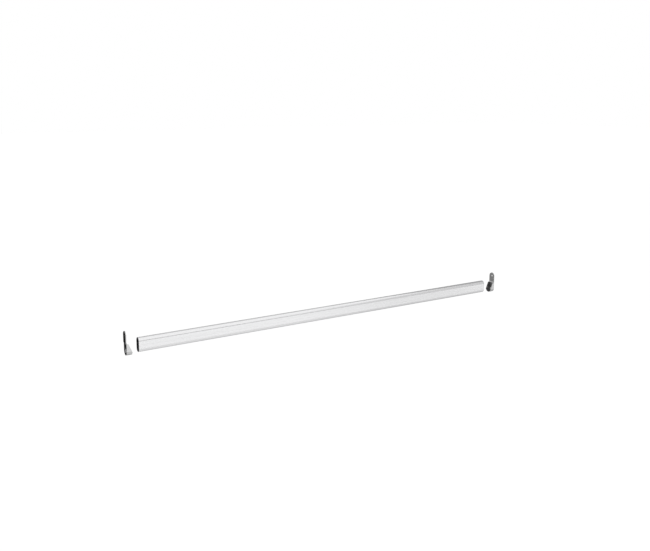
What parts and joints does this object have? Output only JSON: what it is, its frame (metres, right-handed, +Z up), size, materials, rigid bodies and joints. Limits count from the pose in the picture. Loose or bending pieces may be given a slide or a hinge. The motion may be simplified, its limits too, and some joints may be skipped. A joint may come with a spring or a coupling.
{
  "type": "wardrobe rail",
  "caption": "Oval tube wardrobe rail with screw-fixed cup brackets laid out past its ends; each bracket and the rail close along the rail's axis until the tube is seated.",
  "frame": {"origin": "half way between the left bracket's two screw holes, in the plane of its wall face", "axes": "+X along the rail from the left bracket to the right one, +Z up, -Y towards the viewer of the picture"},
  "size_m": [0.9721, 0.0182, 0.0496],
  "materials": {
    "anodised_aluminium": "satin anodised extrusion",
    "nickel_plated_zinc": "satin nickel plate"
  },
  "bodies": {
    "left_bracket": {"left_bracket": "nickel_plated_zinc"},
    "rail": {"rail": "anodised_aluminium"},
    "right_bracket": {"right_bracket": "nickel_plated_zinc"}
  },
  "joints": [
    {"name": "rail_to_left_cup", "type": "slide", "parent": "left_bracket", "child": "rail", "axis": [-1, 0, 0], "range_m": [0, 0.023]},
    {"name": "right_cup_to_rail", "type": "slide", "parent": "rail", "child": "right_bracket", "axis": [-1, 0, 0], "range_m": [0, 0.0315]}
  ]
}
